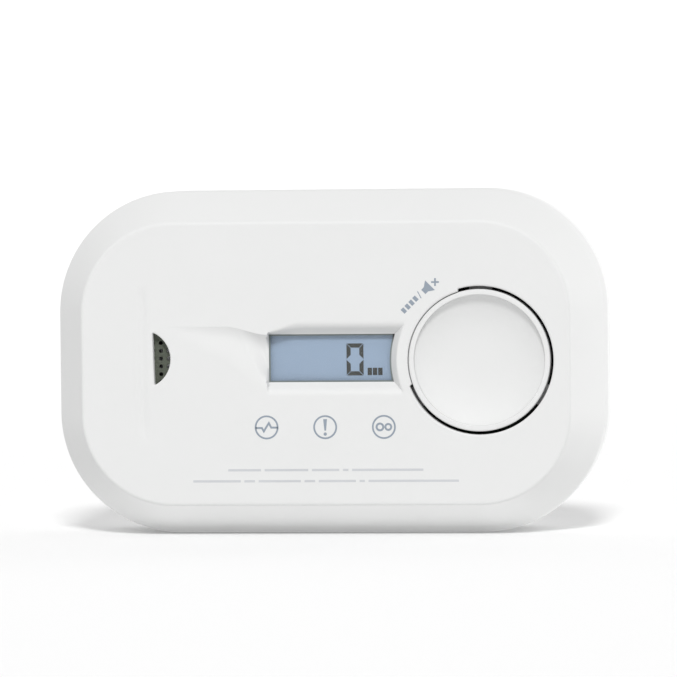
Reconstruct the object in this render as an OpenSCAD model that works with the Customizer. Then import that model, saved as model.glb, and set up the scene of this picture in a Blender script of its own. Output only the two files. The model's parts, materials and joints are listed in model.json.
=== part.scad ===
// Carbon monoxide detector with a display, a large round test button and a sealed cell.
// It stands on its lower edge: x to the right, y towards the back, z up, millimetres.
// Each part is drawn lying on its back, as it is assembled on a bench: x to the right,
// y up the face, z out from the wall. upright() stands it up.

/* [Casing] */
// Width of the casing
body_w = 120; // [116:1:130]
// Height of the casing
body_h = 75; // [74:1:84]
// Depth of the casing, back to face
body_d = 32; // [32:1:36]
// Corner radius of the casing seen from the front
corner_r = 26.5; // [25:0.5:30]
// How far the flat face is set in from the widest outline
face_inset = 6.8; // [4:0.2:7]
// Depth of the sloped band between the face and the widest outline
taper_d = 12; // [10:0.5:13]
// Wall thickness of both covers
wall = 2; // [1.8:0.1:2.2]
// Depth of the rear cover
rear_d = 9; // [8.5:0.5:9.5]
// Width of the bevels that form the shut line between the covers
shut_bevel = 0.3; // [0.1:0.1:0.5]

/* [Test button] */
// Centre of the button, to the right of the middle of the casing
button_x = 33.6; // [33:0.2:34]
// Centre of the button, above the middle of the casing
button_y = 0.5; // [0:0.5:1.5]
// Radius of the button
button_r = 15.4; // [15.2:0.1:15.5]
// Outer radius of the C-shaped sound slot around the button
slot_r = 16.1; // [16:0.1:16.3]
// Radius of the cover's edge where there is no sound slot
shut_r = 15.6; // [15.55:0.05:15.8]
// Angle where the sound slot starts, counted from the right, anticlockwise
slot_from = 199; // [190:1:210]
// Angle that the sound slot covers
slot_sweep = 268; // [240:1:280]
// Radius of the dished middle of the button
dish_r = 14.1; // [13.5:0.1:14.3]
// Depth of the dish below the button's lip
dish_depth = 3.2; // [1:0.1:2.6]
// Travel of the button
button_travel = 0.8; // [0.4:0.1:0.8]

/* [Display] */
// Left edge of the visible display
display_left = -12.4; // [-12.6:0.2:-11]
// Lower edge of the visible display
display_low = -4.1; // [-4.2:0.1:-3]
// Upper edge of the visible display
display_high = 6.3; // [6:0.1:6.6]
// Radius of the display's right edge, about the centre of the button
display_arc_r = 19.3; // [19:0.1:19.6]
// Width of the bevel around the display pocket
pocket_bevel = 2; // [1.5:0.1:2.2]
// Depth of the display window below the face
pocket_depth = 2.2; // [2.1:0.1:2.6]
// Left end of the scooped ramp that runs into the display pocket
ramp_left = -35; // [-36:0.5:-30]
// Upper edge of the ramp
ramp_high = 7.8; // [7:0.1:8]

/* [Face marks] */
// Spacing of the three status marks
mark_pitch = 12.8; // [12:0.1:13]
// Height of the status marks, from the middle of the casing
mark_y = -13.8; // [-14.5:0.1:-13]

/* [Gas sensor] */
// Centre of the sensor, from the middle of the casing
sensor_x = -36.1; // [-36.5:0.1:-35.5]
// Height of the sensor's centre
sensor_y = 1.2; // [1:0.1:2]
// Radius of the sensor's can
sensor_r = 9.8; // [9:0.1:9.8]
// Radius of the arc of the D-shaped gas port
port_r = 6.3; // [5.5:0.1:6.4]
// Width of the gas port across its flat and its arc
port_w = 3.7; // [3:0.1:4]

/* [Battery] */
// Radius of the sealed cell
battery_r = 8.4; // [8:0.1:8.4]
// Length of the sealed cell
battery_len = 33; // [30:1:33]

/* [Wall fixing] */
// Distance between the two keyholes
keyhole_pitch = 60; // [56:1:64]
// Height of the keyholes' round entries, from the middle of the casing
keyhole_y = -2; // [-4:1:0]
// Radius of a keyhole's round entry
keyhole_r = 4.2; // [4:0.1:4.4]
// Half the width of a keyhole's slot
keyhole_slot_r = 2.1; // [1.8:0.1:2.2]
// Travel of a screw in a keyhole's slot
keyhole_rise = 8; // [6:0.5:9]

/* [Activation switch] */
// Travel of the activation slider
slider_travel = 4; // [3:0.5:4]

/* [Hidden] */
$fn = 64;

// A small overlap that keeps a cutter clear of the face it cuts through
cut = 1;
// Clearances: between parts that are only laid together, and between sliding parts
gap = 0.1;
slide_gap = 0.3;

// Boards: the main board lies over the rear cover, the display board hangs behind the face
board_t = 1.6;
main_board_z = 8;
main_top_z = main_board_z + board_t;
display_board_z = 22.4;
display_top_z = display_board_z + board_t;

// Casing: centres of the corner arcs, and the levels of the shell
corner_x = body_w / 2 - corner_r;
corner_y = body_h / 2 - corner_r;
band_z = body_d - taper_d;
face_in_z = body_d - wall;
face_r = corner_r - face_inset;
band_len = norm([face_inset, taper_d]);
band_wall = wall * band_len / taper_d;
edge_break = 0.4;
rear_bevel = 1;
lip_h = 2.5;
lip_wall = 1.1;
lip_top_z = rear_d + lip_h;
rear_in_r = corner_r - wall - lip_wall;
// Radius of the inside of the front cover at height z on the sloped band
function band_in_r(z) = face_r + face_inset * (body_d - z) / taper_d - band_wall;

// Housing screws stand on the diagonals of the corner arcs
boss_r = 3.6;
boss_diagonal = corner_r - wall - boss_r + 0.3;
boss_x = corner_x + boss_diagonal / sqrt(2);
boss_y = corner_y + boss_diagonal / sqrt(2);
boss_low_z = lip_top_z + gap;
boss_top_z = band_z + 2;
pillar_r = 4;
pillar_neck_r = 3;
sink_r = 3.1;
sink_depth = 5;
screw_r = 1.4;
screw_head_r = 2.8;
screw_head_h = 2;
screw_len = 12;
thread_gap = 0.05;
screw_room = 1.5;

// Button: the skirt runs in a collar behind the face, and three lugs keep it in
button = [button_x, button_y];
button_top_z = body_d - 0.1;
button_low_z = display_top_z + button_travel + 0.4;
button_step = 0.8;
button_wall = 1.1;
skirt_in_r = button_r - 1.3;
dish_low_z = button_top_z - dish_depth;
dish_edge_z = button_top_z - button_step;
dish_sag = dish_edge_z - dish_low_z;
dish_ball_r = (dish_r * dish_r + dish_sag * dish_sag) / (2 * dish_sag);
button_under_z = dish_low_z - button_wall;
collar_wall = 0.8;
collar_low_z = 27;
lug_angles = [90, 210, 330];
lug_r = slot_r + 0.6;
lug_w = 5;
lug_len = 4;
slot_mid_r = (button_r + slot_r) / 2;
slot_end_r = 0.3;

// Display: window, panel, holder and contact strips are stacked on the display board
pocket_z = body_d - pocket_depth;
pocket_arc_r = display_arc_r - 1.4;
pocket_half_h = (display_high - display_low) / 2 + pocket_bevel;
display_y = (display_low + display_high) / 2;
tape_t = 0.2;
tape_edge = 0.8;
window_t = 0.8;
window_z = pocket_z - tape_t - window_t;
window_centre = [1.1, display_y];
window_size = [28.8, 12.8];
window_gap = 0.2;
glass_t = 2.4;
glass_z = window_z - gap - glass_t;
glass_centre = [1, display_y];
glass_size = [28.6, 15];
holder_centre = [0.9, display_y];
holder_size = [30.8, 17.4];
glass_gap = 0.1;
holder_drop = 0.2;
strip_w = 1.6;
strip_inset = 0.2;
strip_end = 1;
backing_left = -25;
backing_right = 16.1;
backing_rim = 1.2;

// Lamps and light guides stand behind the three status marks
mark_xs = [-mark_pitch, 0, mark_pitch];
lamp_size = [3, 2, 1.2];
guide_r = 2;
guide_flange_r = 2.5;
guide_flange_t = 0.8;
guide_low_z = display_top_z + lamp_size.z + 0.2;
guide_top_z = body_d - 1;
guide_hole_top_z = body_d - 0.8;

// Display board: a rectangle with an arm to the switch under the button
display_board_left = -21.5;
display_board_right = 21.5;
display_board_low = -17.5;
display_board_high = 10.4;
tongue_r = 13.4;
display_fix = [[-19, -14.5], [19, -14.5], [-18.5, 5]];
small_boss_r = 2.4;
small_screw_r = 0.95;
small_pilot_r = small_screw_r + thread_gap;
small_hole_r = 1.2;
small_head_r = 2;
small_head_h = 1.2;
sound_hole_r = 1.8;
sound_holes = 6;
sound_ring_r = 9;

// Push switch under the button
tact_size = [6, 6, 2.4];
plunger_r = 1.7;
plunger_well_z = display_top_z + 0.6;
plunger_low_z = plunger_well_z + button_travel + 0.2;
plunger_top_z = button_under_z - 0.05;

// Main board and what stands on it
main_wide = [108, 39.6];
main_tall = [76, 60];
main_fix = [for (x = [-34, 34], y = [-26, 26]) [x, y]];
main_pilot_z = wall + 1;
header_centre = [0, -15.5];
header_pins = 6;
header_pitch = 2.54;
header_pin = 0.64;
header_block_h = 8;
capacitor_places = [[12, -24], [22, -24]];
capacitor_r = 4;
capacitor_h = 10;
coil_place = [-14, -24];
coil_r = 3.6;
coil_h = 7;
coil_flange_r = 4.5;
coil_flange_t = 1.2;
chip_place = [2, 0];
chip_size = [7, 7, 1];

// Battery
battery_centre = [-8, 19.5];
battery_z = main_top_z + 2 * gap + battery_r;
nub_r = 3;
nub_len = 1;
tab_t = 0.2;
tab_w = 4;
tab_reach = 2;
pad_size = [20, 7];

// Sensor: cell, filter cap, foam ring and dust screen lead up to the gas port
sensor = [sensor_x, sensor_y];
sensor_low_z = main_top_z + 2;
cap_z = 24.6;
cap_h = 2.3;
gasket_z = cap_z + cap_h;
gasket_r = 9.4;
gasket_in_r = 7;
gas_hole_r = 2.5;
shoulder_w = 0.6;
shoulder_h = 1.2;
pin_r = 0.5;
pin_ring_r = 6.4;
pin_tail = 1.2;
port_flat_x = sensor_x - 1.4;
port_lean = 1.5;
duct_wall = 1.2;
screen_t = 0.35;
screen_hole_r = 0.45;
screen_pitch = 1.7;
screen_steps = 3;

// Sounder behind the button
chamber_r = 14.4;
chamber_h = 11.9;
chamber_wall = 1.2;
ledge_w = 1.2;
disc_r = 13;
disc_t = 0.3;
disc_z = main_top_z + 2.4;
ceramic_r = 10;
ceramic_t = 0.25;
sound_exit_r = 3;

// Activation switch behind the main board
slider_centre = [0, -18];
switch_size = [14, 7, 4.6];
knob = [5, 4.4];
knob_z = 0.6;
knob_top_z = wall - 0.2;
stem = [4.6, 3];
stem_top_z = 6.2;

// Rating label
label_centre = [0, 18];
label_size = [44, 20];
label_recess = 0.2;
label_gap = 0.2;
label_t = 0.15;

// Soft crease to the left of the gas port
crease_top = [-40.2, 17];
crease_low = [-39.5, -16];
crease_tool_r = 2.5;
crease_depth = 0.25;

// Stands a part that is drawn lying on its back upright
module upright() {
    translate([0, body_d / 2, body_h / 2]) rotate([90, 0, 0]) children();
}

// A rod along z between two levels
module rod(centre, r, z0, z1) {
    translate([centre.x, centre.y, z0]) cylinder(r = r, h = z1 - z0);
}

// A tube along z between two levels
module tube(centre, r_out, r_in, z0, z1) {
    difference() {
        rod(centre, r_out, z0, z1);
        rod(centre, r_in, z0 - cut, z1 + cut);
    }
}

// A rectangular plate about a centre, between two levels
module plate(centre, size, z0, z1) {
    translate([centre.x - size.x / 2, centre.y - size.y / 2, z0])
        cube([size.x, size.y, z1 - z0]);
}

// A solid with the rounded outline of the casing. The profile gives its edge as [r, z]
// points from the axis of a corner arc outwards, and starts and ends at r = 0.
module casing_solid(profile) {
    low = min([for (p = profile) p.y]);
    high = max([for (p = profile) p.y]);
    for (side = [0, 1]) {
        mirror([side, 0, 0])
            translate([corner_x, corner_y, 0])
            rotate([90, 0, 0])
            linear_extrude(2 * corner_y)
            polygon(profile);
        mirror([0, side, 0])
            translate([-corner_x, corner_y, 0])
            rotate([90, 0, 90])
            linear_extrude(2 * corner_x)
            polygon(profile);
    }
    for (turn = [0:3]) {
        sign_x = turn == 0 || turn == 3 ? 1 : -1;
        sign_y = turn < 2 ? 1 : -1;
        translate([sign_x * corner_x, sign_y * corner_y, 0])
            rotate([0, 0, 90 * turn])
            rotate_extrude(angle = 90)
            polygon(profile);
    }
    translate([-corner_x, -corner_y, low]) cube([2 * corner_x, 2 * corner_y, high - low]);
}

// The four housing screws
module at_housing_screws() {
    for (x = [-boss_x, boss_x], y = [-boss_y, boss_y]) translate([x, y, 0]) children();
}

// Shell of the front cover, open at the back
module front_shell() {
    difference() {
        casing_solid([
            [0, rear_d],
            [corner_r - shut_bevel, rear_d],
            [corner_r, rear_d + shut_bevel],
            [corner_r, band_z],
            [face_r + edge_break * face_inset / band_len, body_d - edge_break * taper_d / band_len],
            [face_r - edge_break, body_d],
            [0, body_d]
        ]);
        casing_solid([
            [0, rear_d - cut],
            [corner_r - wall, rear_d - cut],
            [corner_r - wall, band_z - wall * (band_len - taper_d) / face_inset],
            [band_in_r(face_in_z), face_in_z],
            [0, face_in_z]
        ]);
    }
}

// Opening of the button: a narrow shut line, and the wider sound slot with round ends
module button_opening() {
    rod(button, shut_r, face_in_z - cut, body_d + cut);
    translate([button.x, button.y, face_in_z - cut]) {
        rotate([0, 0, slot_from])
            rotate_extrude(angle = slot_sweep)
            translate([button_r - cut, 0])
            square([slot_r - button_r + cut, wall + 2 * cut]);
        for (angle = [slot_from, slot_from + slot_sweep])
            rotate([0, 0, angle])
            rod([slot_mid_r, 0], slot_end_r, 0, wall + 2 * cut);
    }
}

// Display pocket: bevelled above and below, with a bevelled arc beside the button
module display_pocket() {
    difference() {
        translate([display_left, 0, 0])
            rotate([90, 0, 90])
            linear_extrude(button_x - display_left - button_r)
            polygon([
                [display_low, pocket_z],
                [display_high, pocket_z],
                [display_high + pocket_bevel, body_d],
                [display_high + pocket_bevel, body_d + cut],
                [display_low - pocket_bevel, body_d + cut],
                [display_low - pocket_bevel, body_d]
            ]);
        translate([button.x, button.y, pocket_z])
            cylinder(r1 = display_arc_r, r2 = pocket_arc_r, h = pocket_depth);
        rod(button, pocket_arc_r, body_d, body_d + 2 * cut);
        rod(button, display_arc_r, pocket_z - cut, pocket_z);
    }
    plate([(display_left + button_x - display_arc_r) / 2, display_y],
        [button_x - display_arc_r - display_left, display_high - display_low], window_z - cut, body_d);
}

// Scooped ramp from the face down into the left end of the display pocket
module ramp() {
    translate([0, ramp_high, 0])
        rotate([90, 0, 0])
        linear_extrude(ramp_high - display_low - gap)
        polygon([
            [ramp_left, body_d],
            [display_left, pocket_z + 0.1],
            [display_left + cut, pocket_z + 0.1],
            [display_left + cut, body_d + cut],
            [ramp_left, body_d + cut]
        ]);
}

// D-shaped gas port, with its flat to the left
module gas_port() {
    translate([port_flat_x, sensor_y, face_in_z - cut])
        rotate([0, 0, port_lean])
        linear_extrude(wall + 2 * cut)
        intersection() {
            translate([port_w - port_r, 0]) circle(r = port_r);
            translate([0, -port_r]) square([port_w + cut, 2 * port_r]);
        }
}

// Shallow groove in the face, from the top of the crease to its lower end
module crease() {
    run = crease_low - crease_top;
    translate([crease_top.x, crease_top.y, body_d + crease_tool_r - crease_depth])
        rotate([0, 90, atan2(run.y, run.x)])
        cylinder(r = crease_tool_r, h = norm(run));
}

module front_cover() {
    color("white") upright() difference() {
        union() {
            front_shell();
            at_housing_screws() rod([0, 0], boss_r, boss_low_z, boss_top_z);
            tube(button, slot_r + gap + collar_wall, slot_r + gap, collar_low_z, face_in_z + gap);
            tube(sensor, gasket_r + gap + duct_wall, gasket_r + gap, gasket_z + gap, face_in_z + gap);
            plate([(backing_left + backing_right) / 2, display_y],
                [backing_right - backing_left, 2 * (pocket_half_h + backing_rim)], window_z, face_in_z + gap);
            for (place = display_fix) rod(place, small_boss_r, display_top_z, face_in_z + gap);
        }
        button_opening();
        display_pocket();
        ramp();
        gas_port();
        crease();
        plate(window_centre, window_size + 2 * [window_gap, window_gap], window_z - cut, pocket_z);
        for (x = mark_xs) rod([x, mark_y], guide_r + gap, face_in_z - cut, guide_hole_top_z);
        at_housing_screws()
            rod([0, 0], screw_r + thread_gap, boss_low_z - cut, sink_depth + screw_len + screw_room);
        for (place = display_fix) rod(place, small_pilot_r, display_top_z - cut, face_in_z - screw_room);
    }
}

// Keyhole: a round entry with a slot that rises from it
module keyhole() {
    rod([0, 0], keyhole_r, -cut, wall + cut);
    rod([0, keyhole_rise], keyhole_slot_r, -cut, wall + cut);
    plate([0, keyhole_rise / 2], [2 * keyhole_slot_r, keyhole_rise], -cut, wall + cut);
}

module rear_cover() {
    color("whitesmoke") upright() difference() {
        union() {
            difference() {
                union() {
                    casing_solid([
                        [0, 0],
                        [corner_r - rear_bevel, 0],
                        [corner_r, rear_bevel],
                        [corner_r, rear_d - shut_bevel],
                        [corner_r - shut_bevel, rear_d],
                        [0, rear_d]
                    ]);
                    casing_solid([
                        [0, wall],
                        [corner_r - wall - gap, wall],
                        [corner_r - wall - gap, lip_top_z],
                        [0, lip_top_z]
                    ]);
                }
                casing_solid([
                    [0, wall],
                    [rear_in_r, wall],
                    [rear_in_r, lip_top_z + cut],
                    [0, lip_top_z + cut]
                ]);
            }
            at_housing_screws() {
                rod([0, 0], pillar_r, wall - gap, rear_d - gap);
                rod([0, 0], pillar_neck_r, wall - gap, boss_low_z);
            }
            for (place = main_fix) rod(place, small_boss_r, wall - gap, main_board_z);
        }
        at_housing_screws() {
            rod([0, 0], sink_r, -cut, sink_depth);
            rod([0, 0], screw_r + 0.3, sink_depth - cut, boss_low_z + cut);
        }
        for (place = main_fix) rod(place, small_pilot_r, main_pilot_z, main_board_z + cut);
        for (side = [-1, 1]) translate([side * keyhole_pitch / 2, keyhole_y, 0]) keyhole();
        plate(slider_centre, [knob.x + slider_travel, knob.y] + 2 * [slide_gap, slide_gap], -cut, wall + cut);
        plate(label_centre, label_size, -cut, label_recess);
    }
}

// Round button: a skirt, a raised lip, a dished middle, a stem pad and three lugs
module test_button() {
    color("white") upright() {
        difference() {
            union() {
                rod(button, button_r, button_low_z, button_top_z);
                intersection() {
                    rod(button, lug_r, button_low_z, collar_low_z - gap);
                    for (angle = lug_angles)
                        translate([button.x, button.y, 0])
                        rotate([0, 0, angle])
                        plate([lug_r - lug_len / 2, 0], [lug_len, lug_w], button_low_z, collar_low_z);
                }
            }
            rod(button, dish_r, dish_edge_z, button_top_z + cut);
            translate([button.x, button.y, dish_low_z + dish_ball_r]) sphere(r = dish_ball_r, $fn = 128);
            rod(button, skirt_in_r, button_low_z - cut, button_under_z);
        }
    }
}

module display_window() {
    color("lightsteelblue", 0.5) upright()
        plate(window_centre, window_size, window_z, window_z + window_t);
}

module window_tape() {
    color("dimgray") upright() difference() {
        plate(window_centre, window_size, window_z + window_t, pocket_z);
        plate(window_centre, window_size - 2 * [tape_edge, tape_edge], window_z, pocket_z + cut);
    }
}

module lcd_panel() {
    color("lightslategray") upright()
        plate(glass_centre, glass_size, glass_z, glass_z + glass_t);
}

module lcd_holder() {
    color("#202225") upright() difference() {
        plate(holder_centre, holder_size, display_top_z, glass_z + glass_t - holder_drop);
        plate(glass_centre, glass_size + 2 * [glass_gap, glass_gap], display_top_z - cut, pocket_z);
    }
}

module lcd_contact_strips() {
    color("#3a3030") upright()
        for (side = [-1, 1])
            plate([glass_centre.x, glass_centre.y + side * (glass_size.y / 2 - strip_w / 2 - strip_inset)],
                [glass_size.x - 2 * strip_end, strip_w], display_top_z, glass_z);
}

module display_board() {
    color("darkgreen") upright() difference() {
        union() {
            translate([display_board_left, display_board_low, display_board_z])
                cube([
                    display_board_right - display_board_left,
                    display_board_high - display_board_low,
                    board_t
                ]);
            rod(button, tongue_r, display_board_z, display_top_z);
        }
        for (place = display_fix)
            rod(place, small_hole_r, display_board_z - cut, display_top_z + cut);
        for (k = [0:sound_holes - 1])
            rod(button + sound_ring_r * [cos(60 * k + 30), sin(60 * k + 30)], sound_hole_r,
                display_board_z - cut, display_top_z + cut);
    }
}

module tact_switch_body() {
    color("#1c1c1e") upright() difference() {
        plate(button, tact_size, display_top_z, display_top_z + tact_size.z);
        rod(button, plunger_r + gap, plunger_well_z, display_top_z + tact_size.z + cut);
    }
}

module switch_plunger() {
    color("gainsboro") upright() rod(button, plunger_r, plunger_low_z, plunger_top_z);
}

module status_leds() {
    color("ivory") upright()
        for (x = mark_xs) plate([x, mark_y], lamp_size, display_top_z, display_top_z + lamp_size.z);
}

module light_guides() {
    color("aliceblue", 0.6) upright()
        for (x = mark_xs) {
            rod([x, mark_y], guide_r, guide_low_z, guide_top_z);
            rod([x, mark_y], guide_flange_r, guide_low_z, guide_low_z + guide_flange_t);
        }
}

module main_board() {
    color("darkgreen") upright() difference() {
        union() {
            plate([0, 0], main_wide, main_board_z, main_top_z);
            plate([0, 0], main_tall, main_board_z, main_top_z);
        }
        for (place = main_fix) rod(place, small_hole_r, main_board_z - cut, main_top_z + cut);
        at_sensor_pins() rod([0, 0], pin_r + gap, main_board_z - cut, main_top_z + cut);
    }
}

module board_header() {
    color("#1c1c1e") upright() {
        plate(header_centre, [header_pins * header_pitch, header_pitch], main_top_z,
            main_top_z + header_block_h);
        for (k = [0:header_pins - 1])
            plate(header_centre + [(k - (header_pins - 1) / 2) * header_pitch, 0],
                [header_pin, header_pin], main_top_z + header_block_h - cut, display_board_z);
    }
}

module microcontroller() {
    color("#1c1c1e") upright() plate(chip_place, chip_size, main_top_z, main_top_z + chip_size.z);
}

module capacitors() {
    color("midnightblue") upright()
        for (place = capacitor_places) rod(place, capacitor_r, main_top_z, main_top_z + capacitor_h);
}

// Coil: two flanges with the winding between them
module inductor() {
    color("saddlebrown") upright() {
        rod(coil_place, coil_r, main_top_z, main_top_z + coil_h);
        rod(coil_place, coil_flange_r, main_top_z, main_top_z + coil_flange_t);
        rod(coil_place, coil_flange_r, main_top_z + coil_h - coil_flange_t, main_top_z + coil_h);
    }
}

module battery() {
    color("royalblue") upright()
        translate([battery_centre.x - battery_len / 2, battery_centre.y, battery_z])
        rotate([0, 90, 0]) {
            cylinder(r = battery_r, h = battery_len);
            translate([0, 0, battery_len - gap]) cylinder(r = nub_r, h = nub_len + gap);
        }
}

// Two tabs, from the ends of the cell down to the board
module battery_tabs() {
    ends = [
        battery_centre.x - battery_len / 2 - tab_t / 2,
        battery_centre.x + battery_len / 2 + nub_len + tab_t / 2
    ];
    color("silver") upright()
        for (x = ends) plate([x, battery_centre.y], [tab_t, tab_w], main_top_z, battery_z + tab_reach);
}

module battery_pad() {
    color("dimgray") upright()
        plate(battery_centre, pad_size, battery_z + battery_r, face_in_z - gap);
}

// The three pins of the sensor
module at_sensor_pins() {
    for (angle = [90, 210, 330])
        translate([sensor.x, sensor.y, 0]) rotate([0, 0, angle]) translate([pin_ring_r, 0, 0]) children();
}

module co_sensor() {
    color("gainsboro") upright() {
        rod(sensor, sensor_r, sensor_low_z, cap_z - shoulder_h);
        rod(sensor, sensor_r - shoulder_w, sensor_low_z, cap_z);
    }
}

module sensor_filter_cap() {
    color("#26282b") upright() tube(sensor, sensor_r - 0.2, gas_hole_r, cap_z, gasket_z);
}

module sensor_pins() {
    color("gold") upright() at_sensor_pins() rod([0, 0], pin_r, main_board_z - pin_tail, sensor_low_z);
}

module sensor_gasket() {
    color("dimgray") upright() tube(sensor, gasket_r, gasket_in_r, gasket_z, face_in_z - gap);
}

// Round screen with a field of fine holes
module dust_screen() {
    color("#303236") upright() difference() {
        rod(sensor, gasket_in_r - 2 * gap, face_in_z - gap - screen_t, face_in_z - gap);
        for (i = [-screen_steps:screen_steps], j = [-screen_steps:screen_steps])
            if (norm([i, j]) <= screen_steps)
                rod(sensor + screen_pitch * [i, j], screen_hole_r, face_in_z - 2 * cut, face_in_z + cut);
    }
}

// Resonance cup: the disc sits on a ledge, and sound leaves through the hole above
module sounder_chamber() {
    color("#26282b") upright() difference() {
        rod(button, chamber_r, main_top_z, main_top_z + chamber_h);
        rod(button, disc_r + gap, main_top_z - cut, disc_z + disc_t);
        rod(button, disc_r - ledge_w, disc_z, main_top_z + chamber_h - chamber_wall);
        rod(button, sound_exit_r, disc_z, main_top_z + chamber_h + cut);
    }
}

module piezo_disc() {
    color("goldenrod") upright() rod(button, disc_r, disc_z, disc_z + disc_t);
}

module piezo_ceramic() {
    color("ghostwhite") upright() rod(button, ceramic_r, disc_z - ceramic_t, disc_z);
}

module activation_switch_body() {
    color("#1c1c1e") upright() difference() {
        plate(slider_centre, switch_size, main_board_z - switch_size.z, main_board_z);
        plate(slider_centre, [stem.x + slider_travel, stem.y] + 2 * [slide_gap, slide_gap],
            main_board_z - switch_size.z - cut, stem_top_z + slide_gap);
    }
}

// Knob in the rear cover's slot, with a stem into the switch; it rests at its left end
module activation_slider() {
    place = slider_centre - [slider_travel / 2, 0];
    color("firebrick") upright() {
        plate(place, knob, knob_z, knob_top_z);
        plate(place, stem, knob_z, stem_top_z);
    }
}

module housing_screws() {
    color("silver") upright() at_housing_screws() {
        rod([0, 0], screw_head_r, sink_depth - screw_head_h, sink_depth);
        rod([0, 0], screw_r, sink_depth - gap, sink_depth + screw_len);
    }
}

module board_screws() {
    color("silver") upright()
        for (place = main_fix) {
            rod(place, small_screw_r, main_pilot_z + gap, main_top_z + gap);
            rod(place, small_head_r, main_top_z, main_top_z + small_head_h);
        }
}

module display_screws() {
    color("silver") upright()
        for (place = display_fix) {
            rod(place, small_head_r, display_board_z - small_head_h, display_board_z);
            rod(place, small_screw_r, display_board_z - gap, face_in_z - screw_room - gap);
        }
}

module rear_label() {
    color("lightgray") upright()
        plate(label_centre, label_size - 2 * [label_gap, label_gap], label_recess - label_t, label_recess);
}

front_cover();
rear_cover();
test_button();
display_window();
window_tape();
lcd_panel();
lcd_holder();
lcd_contact_strips();
display_board();
tact_switch_body();
switch_plunger();
status_leds();
light_guides();
main_board();
board_header();
microcontroller();
capacitors();
inductor();
battery();
battery_tabs();
battery_pad();
co_sensor();
sensor_filter_cap();
sensor_pins();
sensor_gasket();
dust_screen();
sounder_chamber();
piezo_disc();
piezo_ceramic();
activation_switch_body();
activation_slider();
housing_screws();
board_screws();
display_screws();
rear_label();
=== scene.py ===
"""Carbon monoxide detector: finished shells, printed marks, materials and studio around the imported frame.

Shapes are worked out in face coordinates, in millimetres: x to the right, y up from the middle of
the casing, z out from the wall. world() turns them into the frame's metres.
"""
import json
import math

import bmesh
import bpy
import numpy as np
from mathutils import Matrix, Vector
from mathutils.geometry import delaunay_2d_cdt
from mathutils.kdtree import KDTree

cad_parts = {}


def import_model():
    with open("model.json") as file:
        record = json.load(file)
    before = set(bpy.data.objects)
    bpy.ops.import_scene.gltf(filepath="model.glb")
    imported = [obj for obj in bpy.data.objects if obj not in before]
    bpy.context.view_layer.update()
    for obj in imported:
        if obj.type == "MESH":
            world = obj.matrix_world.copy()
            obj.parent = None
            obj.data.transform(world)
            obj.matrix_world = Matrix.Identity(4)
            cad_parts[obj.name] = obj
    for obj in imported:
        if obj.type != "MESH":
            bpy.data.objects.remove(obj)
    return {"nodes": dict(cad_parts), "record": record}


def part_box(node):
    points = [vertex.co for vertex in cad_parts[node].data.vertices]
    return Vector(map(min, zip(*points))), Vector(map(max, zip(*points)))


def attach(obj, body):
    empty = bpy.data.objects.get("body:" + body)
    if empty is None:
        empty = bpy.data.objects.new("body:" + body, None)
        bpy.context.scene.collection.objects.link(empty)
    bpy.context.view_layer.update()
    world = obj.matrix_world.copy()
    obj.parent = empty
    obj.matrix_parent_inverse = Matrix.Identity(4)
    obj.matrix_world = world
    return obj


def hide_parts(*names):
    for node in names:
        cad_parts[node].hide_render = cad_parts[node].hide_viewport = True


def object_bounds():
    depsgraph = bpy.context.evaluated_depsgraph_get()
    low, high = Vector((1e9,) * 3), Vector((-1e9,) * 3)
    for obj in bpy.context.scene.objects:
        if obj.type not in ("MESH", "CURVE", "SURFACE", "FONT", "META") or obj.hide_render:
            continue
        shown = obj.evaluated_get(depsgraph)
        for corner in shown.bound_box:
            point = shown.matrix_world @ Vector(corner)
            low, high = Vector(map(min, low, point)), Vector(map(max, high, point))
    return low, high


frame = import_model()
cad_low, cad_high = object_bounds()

MM = 0.001

# ---------------------------------------------------------------- measures from the frame


def world(x, y, z):
    """A point in face coordinates, as metres in the frame."""
    return (x * MM, cad_high.y - z * MM, cad_low.z + (cad_high.z - cad_low.z) / 2 + y * MM)


def face_box(node):
    """Lowest and highest corner of a CAD node in face coordinates."""
    low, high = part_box(node)
    middle = (cad_low.z + cad_high.z) / 2
    return (
        Vector((low.x / MM, (low.z - middle) / MM, (cad_high.y - high.y) / MM)),
        Vector((high.x / MM, (high.z - middle) / MM, (cad_high.y - low.y) / MM)),
    )


WIDTH = (cad_high.x - cad_low.x) / MM
HEIGHT = (cad_high.z - cad_low.z) / MM
FACE_Z = (cad_high.y - cad_low.y) / MM

# Casing
CORNER_R = 26.5
FACE_INSET = 6.8
TAPER = 12.0
WALL = 2.0
REAR_Z = face_box("front_cover")[0].z
REAR_LIP_Z = face_box("rear_cover")[1].z
BAND_Z = FACE_Z - TAPER
INNER_Z = FACE_Z - WALL
COLLAR_LOW_Z = INNER_Z - 3.0
CORNER_X = WIDTH / 2 - CORNER_R
CORNER_Y = HEIGHT / 2 - CORNER_R
SCREW_HEAD_R = 2.8
SCREW_DIAGONAL = (face_box("housing_screws")[1].x - SCREW_HEAD_R - CORNER_X) * math.sqrt(2)

# Button and its sound slot
plunger_low, plunger_high = face_box("switch_plunger")
BUTTON = Vector(((plunger_low.x + plunger_high.x) / 2, (plunger_low.y + plunger_high.y) / 2))
BUTTON_R = 15.4
BUTTON_WALL = 1.3
BUTTON_LOW_Z, BUTTON_TOP_Z = (corner.z for corner in face_box("test_button"))
SLOT_R = 16.1
SHUT_R = 15.52
SLOT_FROM = math.radians(199)
SLOT_TO = math.radians(467)
DISH_R = 14.1

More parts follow.
